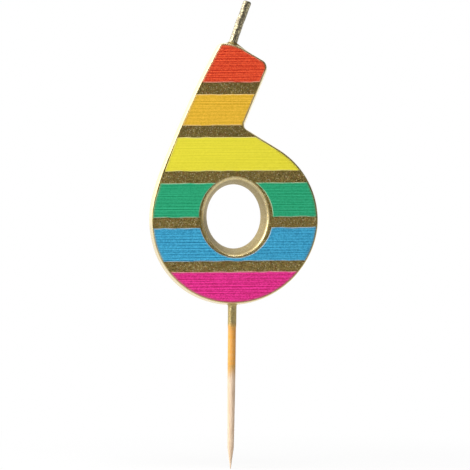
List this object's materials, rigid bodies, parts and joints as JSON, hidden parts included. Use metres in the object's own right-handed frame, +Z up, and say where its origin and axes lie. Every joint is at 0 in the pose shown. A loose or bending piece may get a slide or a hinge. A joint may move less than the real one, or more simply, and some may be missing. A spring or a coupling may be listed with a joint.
{
  "type": "number candle",
  "caption": "Digit-six birthday candle: gold-dipped wax with raised rainbow stripes, a bendable wick in the stem and a wooden skewer to plant it in a cake.",
  "frame": {"origin": "on the skewer's axis at the digit's lowest point, halfway through its thickness, where the digit meets the top of a cake", "axes": "+Z up along the skewer, striped face toward -Y, +X to the right as the face is seen"},
  "size_m": [0.0508, 0.0102, 0.1406],
  "materials": {
    "wax": "cast paraffin wax, translucent ivory",
    "gold_dip": "metallic gold dip with fine glitter",
    "red_wax": "satin coloured wax with fine brushed lines",
    "orange_wax": "satin coloured wax with fine brushed lines",
    "yellow_wax": "satin coloured wax with fine brushed lines",
    "green_wax": "satin coloured wax with fine brushed lines",
    "blue_wax": "satin coloured wax with fine brushed lines",
    "magenta_wax": "satin coloured wax with fine brushed lines",
    "wick_cotton": "waxed cotton cord",
    "wick_glitter": "waxed cotton under gold glitter",
    "skewer_wood": "bare pale wood, stained orange near the gold dip"
  },
  "bodies": {
    "candle": {"wax_core": "wax", "gold_coat": "gold_dip", "red_stripe": "red_wax", "orange_stripe": "orange_wax", "yellow_stripe": "yellow_wax", "green_stripe_left": "green_wax", "green_stripe_right": "green_wax", "blue_stripe": "blue_wax", "magenta_stripe": "magenta_wax", "wick_root": "wick_cotton", "skewer": "skewer_wood"},
    "bending_wick": {"wick": "wick_glitter"}
  },
  "joints": [
    {"name": "wick_bend", "type": "hinge", "parent": "candle", "child": "bending_wick", "pos_m": [0.00031, 0, 0.07947], "axis": [0, 1, 0], "range_deg": [-60, 60]}
  ]
}
